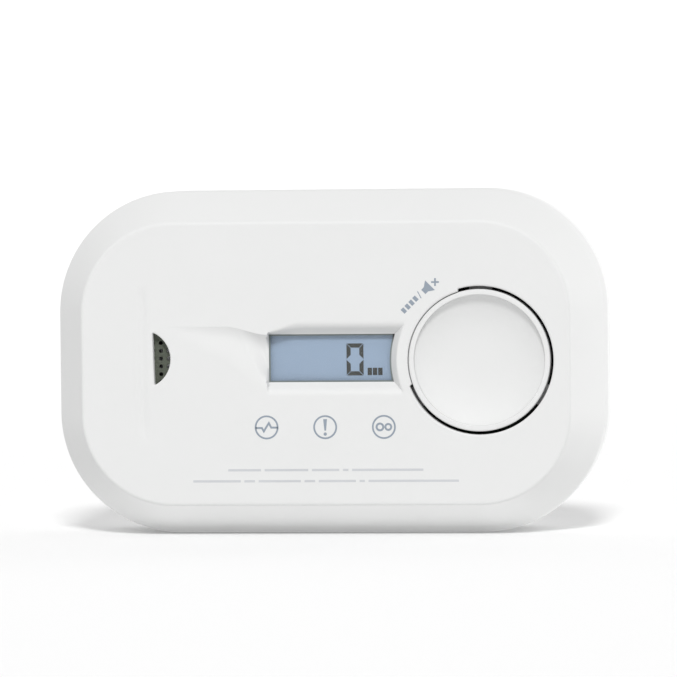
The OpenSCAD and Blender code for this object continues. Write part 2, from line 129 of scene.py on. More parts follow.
# Display pocket, which ends on the window
window_low, window_high = face_box("display_window")
tape_high = face_box("window_tape")[1]
POCKET_Z = tape_high.z
POCKET = FACE_Z - POCKET_Z
DISPLAY_LEFT = -12.4
DISPLAY_LOW = -4.1
DISPLAY_HIGH = 6.3
DISPLAY_ARC_R = 19.3
BEVEL = 2.0
ARC_BEVEL = 1.4
SCOOP_LEFT = -35.0
SCOOP_BEND = -21.8
SCOOP_HIGH = 8.15

# Gas port, and the groove to the left of it
sensor_low, sensor_high = face_box("co_sensor")
SENSOR = Vector(((sensor_low.x + sensor_high.x) / 2, (sensor_low.y + sensor_high.y) / 2))
PORT_R = 6.3
PORT_W = 3.7
PORT_LEAN = math.radians(1.5)
PORT_FLAT = SENSOR.x - 1.4
GROOVE = -39.6

# Marks, which stand over the lamps
INK = 0.02
LAMP_W = 3.0
lamp_low, lamp_high = face_box("status_leds")
MARK_Y = (lamp_low.y + lamp_high.y) / 2
MARK_PITCH = (lamp_high.x - lamp_low.x - LAMP_W) / 2

# Back
KEYHOLE_X = 30
KEYHOLE_Y = -2

# ---------------------------------------------------------------- mesh building


def rounded_path(corners, closed=False, steps=6):
    """Points of a path through (a, b, radius) corners, with an arc of that radius at each."""
    points = []
    count = len(corners)
    for k, (a, b, radius) in enumerate(corners):
        here = Vector((a, b))
        if radius == 0 or (not closed and k in (0, count - 1)):
            points.append((a, b))
            continue
        before = (Vector(corners[k - 1][:2]) - here).normalized()
        after = (Vector(corners[(k + 1) % count][:2]) - here).normalized()
        half = before.angle(after) / 2
        centre = here + (before + after).normalized() * radius / math.sin(half)
        start = here + before * radius / math.tan(half) - centre
        turn = start.angle_signed(here + after * radius / math.tan(half) - centre)
        for step in range(steps + 1):
            arm = Matrix.Rotation(-turn * step / steps, 2) @ start
            points.append(tuple(centre + arm))
    return points


def casing_ring(inset, z, pillar=0.0):
    """Points round the casing's outline, set in by a distance, at height z.

    A pillar radius leaves room for the four screw pillars, which stand in the corners.
    """
    points = []
    arc_steps, side_steps = 40, (32, 12)
    for quarter, (sx, sy) in enumerate(((1, 1), (-1, 1), (-1, -1), (1, -1))):
        for step in range(arc_steps + 1):
            angle = math.pi / 2 * (quarter + step / arc_steps)
            across = SCREW_DIAGONAL * math.sin(math.pi / 2 * (step / arc_steps - 0.5))
            radius = CORNER_R - inset
            if abs(across) < pillar:
                along = math.sqrt(SCREW_DIAGONAL**2 - across**2)
                radius = min(radius, along - math.sqrt(pillar**2 - across**2))
            x = sx * CORNER_X + radius * math.cos(angle)
            y = sy * CORNER_Y + radius * math.sin(angle)
            points.append((x, y, z))
        straight = side_steps[quarter % 2]
        x, y, _ = points[-1]
        across = (-2 * sx * CORNER_X, 0) if quarter % 2 == 0 else (0, -2 * sy * CORNER_Y)
        for step in range(1, straight):
            points.append((x + across[0] * step / straight, y + across[1] * step / straight, z))
    return points


def circle(centre, radius, z, count):
    """A ring of points; radius may be a function of the angle."""
    points = []
    for k in range(count):
        angle = 2 * math.pi * k / count
        r = radius(angle) if callable(radius) else radius
        points.append((centre[0] + r * math.cos(angle), centre[1] + r * math.sin(angle), z))
    return points


def rectangle(low, high, grow=0.0):
    """Corners of a rectangle between two corners, moved outwards on every side."""
    left, right = low[0] - grow, high[0] + grow
    base, top = low[1] - grow, high[1] + grow
    return [(left, base), (right, base), (right, top), (left, top)]


def moved(outline, centre, turn=0.0):
    """An (x, y) outline turned about its origin and set down at a centre."""
    spin = Matrix.Rotation(turn, 2)
    return [tuple(Vector(centre) + spin @ Vector(point)) for point in outline]


def level(outline, z):
    """An (x, y) outline as a ring at height z."""
    return [(point[0], point[1], z) for point in outline]


def grown(ring, distance, z):
    """A ring moved outwards along its own normals, at height z."""
    flat = np.array([p[:2] for p in ring])
    along = np.roll(flat, -1, 0) - np.roll(flat, 1, 0)
    along /= np.linalg.norm(along, axis=1)[:, None]
    outward = np.stack([along[:, 1], -along[:, 0]], 1)
    return level(flat + distance * outward, z)


def edge_curve(radius, steps):
    """How far a rounded edge stands out and lies down at each step from its surface to its wall."""
    angles = [math.pi / 2 * k / steps for k in range(steps + 1)]
    return [(radius * (1 - math.sin(a)), radius * (1 - math.cos(a))) for a in angles]


def inside(points, ring):
    """Which of the points lie inside a ring."""
    x, y = points[:, 0][:, None], points[:, 1][:, None]
    a, b = ring, np.roll(ring, -1, 0)
    crosses = (a[:, 1] > y) != (b[:, 1] > y)
    rise = np.where(b[:, 1] == a[:, 1], 1, b[:, 1] - a[:, 1])
    at = (b[:, 0] - a[:, 0]) * (y - a[:, 1]) / rise + a[:, 0]
    return (crosses & (x < at)).sum(1) % 2 == 1


class Skin:
    """A mesh made from rings of points in face coordinates, bridged and filled."""

    def __init__(self):
        self.points = []
        self.faces = []

    def ring(self, points):
        """Adds points and returns their numbers."""
        first = len(self.points)
        self.points += points
        return list(range(first, len(self.points)))

    def bridge(self, *rings):
        """Quads between each ring and the next, which have the same number of points."""
        for one, two in zip(rings, rings[1:]):
            count = len(one)
            for k in range(count):
                j = (k + 1) % count
                self.faces.append((one[k], one[j], two[j], two[k]))

    def walls(self, rings):
        """Adds rings of points and bridges them; returns the first and last."""
        made = [self.ring(points) for points in rings]
        self.bridge(*made)
        return made[0], made[-1]

    def fill(self, outer, holes=(), extra=()):
        """Triangles between an outer ring and the holes in it, through extra (x, y, z) points."""
        index, edges = [], []
        for ring in (outer, *holes):
            first, count = len(index), len(ring)
            edges += [(first + k, first + (k + 1) % count) for k in range(count)]
            index += ring
        index += self.ring(list(extra))
        flat = [Vector(self.points[i][:2]) for i in index]
        coords, _, triangles, source, _, _ = delaunay_2d_cdt(flat, edges, [], 0, 1e-6)
        centres = np.array([sum((coords[k] for k in tri), Vector((0, 0))) / 3 for tri in triangles])
        keep = inside(centres, np.array([self.points[i][:2] for i in outer]))
        for ring in holes:
            keep &= ~inside(centres, np.array([self.points[i][:2] for i in ring]))
        for tri, kept in zip(triangles, keep):
            if kept:
                self.faces.append(tuple(index[source[k][0]] for k in tri))

    def cap(self, ring):
        """Closes a ring with one face."""
        self.faces.append(tuple(ring))

    def build(self, name, body="casing", sharp=40):
        """The finished mesh object, with smooth faces and edges sharp above an angle."""
        mesh = bpy.data.meshes.new(name)
        work = bmesh.new()
        verts = [work.verts.new(world(*p)) for p in self.points]
        for face in self.faces:
            work.faces.new([verts[i] for i in face])
        bmesh.ops.delete(work, geom=[v for v in work.verts if not v.link_faces], context="VERTS")
        bmesh.ops.recalc_face_normals(work, faces=work.faces)
        work.to_mesh(mesh)
        work.free()
        mesh.shade_smooth()
        mesh.set_sharp_from_angle(angle=math.radians(sharp))
        piece = bpy.data.objects.new(name, mesh)
        bpy.context.collection.objects.link(piece)
        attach(piece, body)
        return piece


def lathe(skin, centre, profile, count):
    """Turns a closed (radius, z) profile about an axis; a radius of 0 closes to a point."""
    rings = []
    for radius, z in profile:
        if radius == 0:
            rings.append(skin.ring([(centre[0], centre[1], z)]))
        else:
            rings.append(skin.ring(circle(centre, radius, z, count)))
    for one, two in zip(rings, rings[1:] + rings[:1]):
        if len(one) == len(two) == 1:
            continue
        for k in range(count):
            j = (k + 1) % count
            if len(one) == 1:
                skin.faces.append((one[0], two[j], two[k]))
            elif len(two) == 1:
                skin.faces.append((one[k], one[j], two[0]))
            else:
                skin.faces.append((one[k], one[j], two[j], two[k]))


def sheet(name, outlines, low, high):
    """Thin flat solids: each outline is a ring of (x, y), and a pair of rings has a hole."""
    skin = Skin()
    for outline in outlines:
        rings = outline if isinstance(outline[0][0], (tuple, list)) else [outline]
        walls = [skin.walls([level(ring, z) for z in (low, high)]) for ring in rings]
        for end in (0, 1):
            skin.fill(walls[0][end], [wall[end] for wall in walls[1:]])
    return skin.build(name)


# ---------------------------------------------------------------- the face


def smooth(t):
    """Eases from 0 to 1 as t does, and holds outside."""
    t = np.clip(t, 0, 1)
    return t * t * (3 - 2 * t)


def soft_positive(value, soft):
    """The larger of value and zero, with the bend between them rounded over a small range."""
    near = np.clip(soft - np.abs(value), 0, None) / soft
    return np.maximum(value, 0) + near * near * soft / 4


def scoop_edge(x):
    """Upper edge of the scoop: level, then bending down to the display's corner."""
    bent = smooth((x - SCOOP_BEND) / (DISPLAY_LEFT - SCOOP_BEND))
    return SCOOP_HIGH - (SCOOP_HIGH - DISPLAY_HIGH) * bent


def scoop_depth(x, y):
    """Depth of the scoop: a cone-like hollow, steep above, that runs out below and dives at the display.

    The hollow and the dive are shares of the pocket's depth.
    """
    along = np.clip((x - SCOOP_LEFT) / (DISPLAY_LEFT - SCOOP_LEFT), 0, 1)
    down = scoop_edge(x) - y
    slope_width = 0.3 + 3.6 * along**0.8
    steep = 1 - (1 - np.clip(down / slope_width, 0, 1)) ** 2
    fade_width = 1.2 + 10.6 * along**1.2
    faded = smooth((down - 0.35 * slope_width) / fade_width)
    hollow = 0.6 * along**1.5 * (1 - faded)
    rise = np.clip((y - DISPLAY_LOW) / (scoop_edge(x) - DISPLAY_LOW), 0, 1)
    dive_width = 0.5 + 6.3 * rise**0.9
    nearness = np.clip(1 - (DISPLAY_LEFT - x) / dive_width, 0, 1)
    dive = 0.7 * smooth(rise / 0.2) * nearness**1.5
    deepest = 0.88
    return np.where(down > 0, POCKET * steep * np.minimum(hollow + dive, deepest), 0)


def pocket_depth(x, y):
    """Depth of the display pocket: bevels above, below and round the button."""
    corner_bevel, widening = 0.45, 7
    bend, arc_bend = 0.9, 0.25
    width = corner_bevel + (BEVEL - corner_bevel) * smooth((x - DISPLAY_LEFT) / widening)
    above = POCKET * (1 - (y - DISPLAY_HIGH) / width)
    below = POCKET * (1 - (DISPLAY_LOW - y) / BEVEL)
    reach = np.hypot(x - BUTTON.x, y - BUTTON.y)
    right = POCKET * (1 - (DISPLAY_ARC_R - reach) / ARC_BEVEL)
    depth = np.minimum(soft_positive(above, bend), soft_positive(below, bend))
    depth = np.minimum(depth, soft_positive(right, arc_bend))
    return np.where(x >= DISPLAY_LEFT, np.clip(depth, 0, POCKET), 0)


def groove_depth(x, y):
    """Depth of a soft shallow groove that bows a little to the left and fades at both ends."""
    depth, half_width = 0.3, 0.85
    middle_y, half_length, fade_length = 0.4, 17.6, 4
    bow = 0.2 * smooth((y + 16) / 10) + 0.15 * smooth((12 - y) / 8)
    present = smooth((half_length - np.abs(y - middle_y)) / fade_length)
    return depth * present * np.exp(-(((x - GROOVE + bow) / half_width) ** 2))


def face_height(x, y):
    """Height of the face above the wall plane."""
    x, y = np.asarray(x, float), np.asarray(y, float)
    depth = np.where(x < DISPLAY_LEFT, scoop_depth(x, y), pocket_depth(x, y))
    return FACE_Z - depth - groove_depth(x, y)


def display_ring(inset=0.0):
    """Outline of the visible display: square on the left, an arc round the button on the right."""
    left, low, high = DISPLAY_LEFT + inset, DISPLAY_LOW + inset, DISPLAY_HIGH - inset
    arc_r = DISPLAY_ARC_R + inset

    def arc_x(y):
        return BUTTON.x - math.sqrt(arc_r**2 - (y - BUTTON.y) ** 2)

    step = 0.3
    points = [(left, y) for y in np.arange(high, low, -step)]
    points += [(x, low) for x in np.arange(left, arc_x(low), step)]
    points += [(arc_x(y), y) for y in np.arange(low, high, step)]
    points += [(x, high) for x in np.arange(arc_x(high), left, -step)]
    return points


def port_ring():
    """Outline of the D-shaped gas port, its flat to the left and leaning a little."""
    half = math.sqrt(PORT_R**2 - (PORT_R - PORT_W) ** 2)
    end = math.atan2(half, PORT_R - PORT_W)
    arc = [
        (PORT_W - PORT_R + PORT_R * math.cos(a), PORT_R * math.sin(a))
        for a in np.linspace(-end, end, 65)
    ]
    flat = [(0, y) for y in np.linspace(half, -half, 49)[1:-1]]
    outline = np.array(arc + flat)
    for _ in range(2):
        # Each pass rounds the two corners a little more
        outline = (np.roll(outline, 1, 0) + 2 * outline + np.roll(outline, -1, 0)) / 4
    lean = Matrix.Rotation(PORT_LEAN, 2)
    origin = Vector((PORT_FLAT, SENSOR.y))
    return [tuple(origin + lean @ Vector(p)) for p in outline]


def slot_edge(angle):
    """Radius of the cover's edge round the button: the sound slot, or the narrow shut line."""
    span = (angle - SLOT_FROM) % (2 * math.pi)
    length = SLOT_TO - SLOT_FROM
    end_round = 0.35 / SLOT_R
    into = min(span, length - span) if span < length else 0
    t = min(1, into / end_round)
    return SHUT_R + (SLOT_R - SHUT_R) * math.sqrt(1 - (1 - t) ** 2)


def lined_points():
    """Points along the creases of the display pocket and scoop, so that they stay crisp."""
    points = []
    arc_from, arc_to = math.radians(154), math.radians(206)
    for x in np.arange(SCOOP_LEFT, DISPLAY_LEFT, 0.25):
        for offset in (0.5, 0.22, 0.05, 0, -0.03, -0.1, -0.22, -0.45):
            points.append((x, scoop_edge(x) + offset))
    for inward in (0.25, 0.6, 0.95, 1.2, 1.34, 1.46, 1.62):
        radius = DISPLAY_ARC_R - inward
        for angle in np.arange(arc_from, arc_to, 0.3 / radius):
            points.append((BUTTON.x + radius * math.cos(angle), BUTTON.y + radius * math.sin(angle)))
    for t in np.linspace(0.08, 1, 12):
        for y in (DISPLAY_HIGH + BEVEL * t, DISPLAY_LOW - BEVEL * t):
            reach = DISPLAY_ARC_R - ARC_BEVEL * t
            points.append((BUTTON.x - math.sqrt(reach**2 - (y - BUTTON.y) ** 2), y))
    return points


def spread(first, keep_off, low, high, step, near):
    """The first points, and a grid between two corners that keeps its distance from them."""
    tree = KDTree(len(first) + len(keep_off))
    for k, p in enumerate([*first, *keep_off]):
        tree.insert((p[0], p[1], 0), k)
    tree.balance()
    points = list(first)
    for row, y in enumerate(np.arange(low[1], high[1], step)):
        for x in np.arange(low[0] + (row % 2) * step / 2, high[0], step):
            if tree.find((x, y, 0))[2] > near:
                points.append((x, y))
    return points


def front_cover():
    """Dished front shell with the openings for the button, gas port and display."""
    skin = Skin()
    rim_r, band_r, edge_r = 0.35, 3.0, 0.9
    outer_path = rounded_path([
        (WALL, REAR_Z, 0), (0, REAR_Z, rim_r), (0, BAND_Z, band_r), (FACE_INSET, FACE_Z, edge_r),
        (FACE_INSET + 1.1, FACE_Z, 0), (FACE_INSET + 1.5, FACE_Z, 0),
    ], steps=8)
    slant = math.hypot(TAPER, FACE_INSET)
    bend_z = BAND_Z - WALL * (slant - TAPER) / FACE_INSET
    inner_inset = FACE_INSET * (INNER_Z - BAND_Z) / TAPER + WALL * slant / TAPER
    inner_path = rounded_path([
        (WALL, bend_z, 0), (WALL, bend_z + 0.01, 0),
        (inner_inset, INNER_Z, 0), (inner_inset + 0.5, INNER_Z, 0),
    ])
    rim, face_edge = skin.walls([casing_ring(*p) for p in outer_path])
    inner_low, inner_edge = skin.walls([casing_ring(*p) for p in inner_path])
    skin.bridge(rim, inner_low)

    # The button's opening: face, rounded edge, wall, and the collar behind it
    count = 360

    def opening(grow, z):
        return circle(BUTTON, lambda angle: slot_edge(angle) + grow, z, count)

    opening_edge_r = 0.4
    rows = [opening(opening_edge_r + beyond, FACE_Z) for beyond in (0.4, 0.2)]
    rows += [opening(grow, FACE_Z - drop) for grow, drop in edge_curve(opening_edge_r, 6)]
    rows.append(opening(0, INNER_Z))
    collar_in_r, collar_out_r = SLOT_R + 0.1, SLOT_R + 0.9
    for r, z in ((collar_in_r, INNER_Z), (collar_in_r, COLLAR_LOW_Z),
                 (collar_out_r, COLLAR_LOW_Z), (collar_out_r, INNER_Z)):
        rows.append(circle(BUTTON, r, z, count))
    button_face, button_inner = skin.walls(rows)

    # The gas port
    port = port_ring()
    port_edge_r = 0.35
    rows = [
        [(x, y, float(face_height(x, y))) for x, y, _ in grown(port, grow, 0)]
        for grow in (port_edge_r + 0.4, port_edge_r + 0.2)
    ]
    rows += [grown(port, grow, FACE_Z - drop) for grow, drop in edge_curve(port_edge_r, 5)]
    rows.append(level(port, INNER_Z))
    port_face, port_inner = skin.walls(rows)

    # The display's opening, a ledge behind it for the window, and the pad that holds the window
    display = display_ring()
    land, window_room = 0.12, 0.2
    display_face, display_inner = skin.walls([level(display, z) for z in (POCKET_Z + land, POCKET_Z)])
    recess = rectangle(window_low, window_high, window_room)
    pad_left, pad_right, pad_beyond = -25, 16.1, 1.2
    pad_base, pad_head = DISPLAY_LOW - BEVEL - pad_beyond, DISPLAY_HIGH + BEVEL + pad_beyond
    pad = rectangle((pad_left, pad_base), (pad_right, pad_head))
    recess_top, recess_low = skin.walls([level(recess, z) for z in (POCKET_Z, window_low.z)])
    pad_low, pad_top = skin.walls([level(pad, z) for z in (window_low.z, INNER_Z)])
    skin.fill(recess_top, [display_inner])
    skin.fill(pad_low, [recess_low])

    # The face itself, with points where it is shaped: the display and scoop, then the groove
    keep_off = [skin.points[i] for ring in (button_face, port_face, display_face) for i in ring]
    shaped = spread(lined_points(), keep_off, low=(-36, -7.4), high=(18, 10.4), step=0.34, near=0.2)
    shaped += spread([], keep_off, low=(-43.5, -19), high=(-37.0, 20), step=0.4, near=0.25)
    shaped = np.array(shaped)
    for i, grow in ((button_face, 0.12), (port_face, 0.1), (display_face, 0.06)):
        ring = grown([skin.points[k] for k in i], grow, 0)
        shaped = shaped[~inside(shaped, np.array([p[:2] for p in ring]))]
    heights = face_height(shaped[:, 0], shaped[:, 1])
    extra = [(float(x), float(y), float(z)) for (x, y), z in zip(shaped, heights)]
    skin.fill(face_edge, [button_face, port_face, display_face], extra)
    skin.fill(inner_edge, [button_inner, port_inner, pad_top])
    return skin.build("front_cover_shell", sharp=50)


def test_button():
    """Round cap: skirt, rounded lip, a step inside it and a deep dished middle."""
    skin = Skin()
    step_z = BUTTON_TOP_Z - 1.1
    dish_low_z = BUTTON_TOP_Z - 3.7
    under_z = dish_low_z - 0.6
    inner_r = BUTTON_R - BUTTON_WALL
    foot_edge_r, lip_r, step_edge_r = 0.2, 0.35, 0.15
    lip = rounded_path([
        (inner_r, BUTTON_LOW_Z, 0), (BUTTON_R, BUTTON_LOW_Z, foot_edge_r), (BUTTON_R, BUTTON_TOP_Z, lip_r),
        (DISH_R + step_edge_r, BUTTON_TOP_Z, step_edge_r), (DISH_R, step_z, 0),
    ], steps=7)
    dish = []
    steepness = 3.2
    for r in np.linspace(DISH_R, 0, 40)[1:]:
        t = r / DISH_R
        dish.append((float(r), dish_low_z + (step_z - dish_low_z) * t**steepness))
    under = [(0, under_z), (inner_r, under_z)]
    lathe(skin, BUTTON, lip + dish + under, 288)

    # Three lugs that hold the cap under the cover's collar
    lug_top_z = COLLAR_LOW_Z - 0.1
    root_r, tip_r = BUTTON_R - 0.6, SLOT_R + 0.6
    root_half, tip_half = 2.5, 2.3
    corners = [(root_r, -root_half), (tip_r, -tip_half), (tip_r, tip_half), (root_r, root_half)]
    for angle in (90, 210, 330):
        base = moved(corners, BUTTON, math.radians(angle))
        low, high = skin.walls([level(base, z) for z in (BUTTON_LOW_Z, lug_top_z)])
        skin.cap(low)
        skin.cap(high)
    return skin.build("test_button_cap", "button", sharp=35)


def rounded_box_ring(centre, size, radius, z):
    """A rectangle with rounded corners as a ring of points."""
    half = Vector(size) / 2
    corners = [(centre[0] + sx * half.x, centre[1] + sy * half.y, radius)
               for sx, sy in ((1, -1), (1, 1), (-1, 1), (-1, -1))]
    return [(x, y, z) for x, y in rounded_path(corners, closed=True)]


def keyhole_outline(centre):
    """Outline of a keyhole: a round entry with a slot that rises from it."""
    entry, slot, rise = 4.2, 2.1, 8
    neck = math.acos(slot / entry)
    around = np.linspace(math.pi - neck, 2 * math.pi + neck, 40)
    points = [(entry * math.cos(a), entry * math.sin(a)) for a in around]
    points += [(slot * math.cos(a), rise + slot * math.sin(a)) for a in np.linspace(0, math.pi, 17)]
    return moved(points, centre)


def rear_cover():
    """Back tray with a lip inside the front shell, keyholes, screw bores, a hatch and a label recess."""
    skin = Skin()
    inner_inset, lip_inset = WALL + 1.1, WALL + 0.1
    bore_r, sink_r, sink_z = 1.7, 3.1, 5.0
    pillar_r, pillar_top_r = 4, 3
    rim_r, back_r = 0.35, 1.2
    outer_path = rounded_path([
        (inner_inset - 0.3, REAR_LIP_Z, 0), (lip_inset, REAR_LIP_Z, 0.2), (lip_inset, REAR_Z, 0),
        (0, REAR_Z, rim_r), (0, 0, back_r), (back_r + 0.2, 0, 0), (back_r + 0.4, 0, 0),
    ], steps=8)
    rim, back_edge = skin.walls([casing_ring(*p) for p in outer_path])
    inner_rim, inner_edge = skin.walls([casing_ring(inner_inset, z, pillar) for z, pillar in (
        (REAR_LIP_Z, pillar_top_r), (sink_z + 1, pillar_top_r), (sink_z + 1, pillar_r), (WALL, pillar_r))])

    back_holes, inner_holes = [], []
    hole_edge_r = 0.25
    for x in (-KEYHOLE_X, KEYHOLE_X):
        hole = keyhole_outline((x, KEYHOLE_Y))
        rows = [grown(hole, hole_edge_r + beyond, 0) for beyond in (0.3, 0.15)]
        rows += [grown(hole, grow, rise) for grow, rise in edge_curve(hole_edge_r, 3)]
        rows.append(level(hole, WALL))
        outside, within = skin.walls(rows)
        back_holes.append(outside)
        inner_holes.append(within)

    bores = []
    sink_path = [
        (sink_r + 0.25, 0), (sink_r + 0.17, 0), (sink_r + 0.06, 0.05), (sink_r, 0.2),
        (sink_r, sink_z), (bore_r, sink_z), (bore_r, REAR_LIP_Z),
    ]
    reach = SCREW_DIAGONAL / math.sqrt(2)
    for sx in (-1, 1):
        for sy in (-1, 1):
            place = (sx * (CORNER_X + reach), sy * (CORNER_Y + reach))
            outside, within = skin.walls([circle(place, r, z, 48) for r, z in sink_path])
            back_holes.append(outside)
            bores.append(within)
    skin.fill(rim, [inner_rim, *bores])

    switch_low, switch_high = face_box("activation_switch_body")
    middle = (switch_low + switch_high) / 2
    hatch_w, hatch_h, hatch_r = 10.2, 5.6, 0.6
    rows = [rounded_box_ring(middle, (hatch_w + 2 * grow, hatch_h + 2 * grow), hatch_r + grow, z)
            for grow, z in ((0.5, 0), (0.3, 0), (0.1, 0.1), (0, 0.3), (0, WALL))]
    outside, within = skin.walls(rows)
    back_holes.append(outside)
    inner_holes.append(within)

    label_low, label_high = face_box("rear_label")
    label_room, label_corner_r = 0.4, 1
    label_w = label_high.x - label_low.x + label_room
    label_h = label_high.y - label_low.y + label_room
    middle = (label_low + label_high) / 2
    rows = [rounded_box_ring(middle, (label_w + 2 * grow, label_h + 2 * grow), label_corner_r + grow, z)
            for grow, z in ((0.3, 0), (0.15, 0), (0, label_high.z))]
    outside, within = skin.walls(rows)
    back_holes.append(outside)
    skin.fill(within)

    skin.fill(back_edge, back_holes)
    skin.fill(inner_edge, inner_holes)
    return skin.build("rear_cover_shell", sharp=40)


# ---------------------------------------------------------------- marks and display


def stroke(points, width):
    """Outline of a line of even width through points, with mitred corners and square ends."""
    flat = np.array(points, float)
    steps = np.diff(flat, axis=0)
    steps /= np.linalg.norm(steps, axis=1)[:, None]
    longest_mitre = 2.5
    left, right = [], []
    for k, point in enumerate(flat):
        to_here, onward = steps[max(k - 1, 0)], steps[min(k, len(steps) - 1)]
        normal = np.array([-(to_here + onward)[1], (to_here + onward)[0]])
        normal /= np.linalg.norm(normal)
        mitre = min(longest_mitre, 1 / (normal @ np.array([-to_here[1], to_here[0]])))
        left.append(tuple(point + normal * width / 2 * mitre))
        right.append(tuple(point - normal * width / 2 * mitre))
    return left + right[::-1]


def ring_pair(centre, outer, inner):
    """A round line as a pair of circles."""
    return [[p[:2] for p in circle(centre, r, 0, 64)] for r in (outer, inner)]


def bar(x, y, width, height):
    """A rectangle about its middle."""
    return rectangle((x - width / 2, y - height / 2), (x + width / 2, y + height / 2))


def status_marks():
    """Three ringed pictograms: a pulse, an exclamation mark and a two-atom molecule."""
    ring_r, line = 2.6, 0.38
    outlines = [ring_pair((x, MARK_Y), ring_r, ring_r - line) for x in (-MARK_PITCH, 0, MARK_PITCH)]
    pulse = [(-2.4, -0.12), (-1.05, -0.12), (-0.62, -0.85), (0.5, 0.95), (1.0, -0.05), (2.4, -0.05)]
    exclamation = [(-0.42, 1.75), (-0.17, -0.75), (0.17, -0.75), (0.42, 1.75)]
    outlines.append(moved(stroke(pulse, 0.42), (-MARK_PITCH, MARK_Y)))
    outlines.append(moved(exclamation, (0, MARK_Y)))
    outlines.append([p[:2] for p in circle((0, MARK_Y - 1.5), 0.36, 0, 24)])
    outlines.append(ring_pair((MARK_PITCH - 0.86, MARK_Y), 0.95, 0.5))
    outlines.append(ring_pair((MARK_PITCH + 0.96, MARK_Y), 0.85, 0.42))
    return outlines


def mute_mark():
    """A loudspeaker with a cross, and a row of short dashes before it, turned to follow the button."""
    place, turn = (22.7, 16.4), math.radians(45)
    speaker = [(-1.45, -0.65), (-0.65, -0.65), (0.6, -1.5), (0.6, 1.5), (-0.65, 0.65), (-1.45, 0.65)]
    arm, half = 0.85, 0.19
    quarter = [(half, half), (half, arm), (-half, arm)]
    cross = [point for k in range(4) for point in moved(quarter, (0, 0), math.pi / 2 * k)]
    cross = moved(cross, (1.85, -0.3), math.pi / 4)
    dashes = [bar(-7.3 + 1.2 * k, 0.2, 0.8, 1.2) for k in range(4)]
    slash = stroke([(-2.75, -0.6), (-2.25, 1.0)], 0.2)
    return [moved(outline, place, turn) for outline in [speaker, cross, *dashes, slash]]


def caption_dashes():
    """Two centred rows of fine dashes of uneven length, a plain stand-in for a printed caption."""
    outlines = []
    gap, thick = 0.8, 0.5
    rows = (
        (-23.1, 21.3, (6, 8, 5, 1, 13)),
        (-25.5, 29.0, (9, 2, 8, 2, 7, 1, 17)),
    )
    for y, half, lengths in rows:
        unit = (2 * half - gap * (len(lengths) - 1)) / sum(lengths)
        left = -half
        for length in lengths:
            outlines.append(bar(left + length * unit / 2, y, length * unit, thick))
            left += length * unit + gap
    return outlines


def printed_marks():
    """The pictograms, which stand proud of the face by the thickness of their ink."""
    return sheet("printed_marks", status_marks() + mute_mark(), FACE_Z - INK, FACE_Z + INK)


def printed_caption():
    """The caption's dashes, in thinner ink."""
    return sheet("printed_caption", caption_dashes(), FACE_Z - INK, FACE_Z + 0.75 * INK)


def display_digit():
    """A seven-segment nought and a small unit mark on the panel."""
    panel_z = face_box("lcd_panel")[1].z
    left, right, base, top, middle = 4.45, 8.15, -2.75, 4.2, 0.75
    thick, gap = 0.9, 0.08
    unit_x, unit_y, unit_pitch = 9.5, -1.9, 1.15

    def upright(x, y0, y1, inner):
        return [(x, y0), (x + inner * thick, y0 + thick), (x + inner * thick, y1 - thick), (x, y1)]

    def crossbar(y, inner):
        return [(left + gap, y), (right - gap, y),
                (right - thick - gap, y + inner * thick), (left + thick + gap, y + inner * thick)]

    outlines = [crossbar(top, -1), crossbar(base, 1)]
    for x, inner in ((left, 1), (right, -1)):
        outlines.append(upright(x, middle + gap, top - gap, inner))
        outlines.append(upright(x, base + gap, middle - gap, inner))
    outlines += [bar(unit_x + unit_pitch * k, unit_y, 0.95, 1.6) for k in range(3)]
    return sheet("display_segments", outlines, panel_z + 0.01, panel_z + 0.04)


def display_edge_shade():
    """A thin dark line on the window round its edge: painted shade of the gap where the window meets the
    cover, partly standing for a dark frame behind the window.
    """
    line = 0.34
    return sheet("display_edge_shade", [[display_ring(), display_ring(line)]],
                 window_high.z + 0.002, window_high.z + INK)


# ---------------------------------------------------------------- materials


materials = {}


def new_material(name):
    """A material with its nodes, links and shader."""
    material = bpy.data.materials.new(name)
    material.use_nodes = True
    nodes, links = material.node_tree.nodes, material.node_tree.links
    return material, nodes, links, nodes["Principled BSDF"]


def noise(nodes, links, scale, detail=2.0):
    """A noise texture in object space, with its scale in cells per metre."""
    place = nodes.new("ShaderNodeTexCoord")
    texture = nodes.new("ShaderNodeTexNoise")
    texture.inputs["Scale"].default_value = scale
    texture.inputs["Detail"].default_value = detail
    links.new(place.outputs["Object"], texture.inputs["Vector"])
    return texture.outputs["Fac"]


def mapped(nodes, links, value, low, high):
    """Maps a 0.3 to 0.7 noise value to a range."""
    node = nodes.new("ShaderNodeMapRange")
    node.inputs["From Min"].default_value = 0.3
    node.inputs["From Max"].default_value = 0.7
    node.inputs["To Min"].default_value = low
    node.inputs["To Max"].default_value = high
    links.new(value, node.inputs["Value"])
    return node.outputs["Result"]


def tinted(nodes, links, factor, one, two):
    """A colour between two, by a factor."""
    node = nodes.new("ShaderNodeMix")
    node.data_type = "RGBA"
    node.inputs["A"].default_value = (*one, 1)
    node.inputs["B"].default_value = (*two, 1)
    links.new(factor, node.inputs["Factor"])
    return node.outputs["Result"]


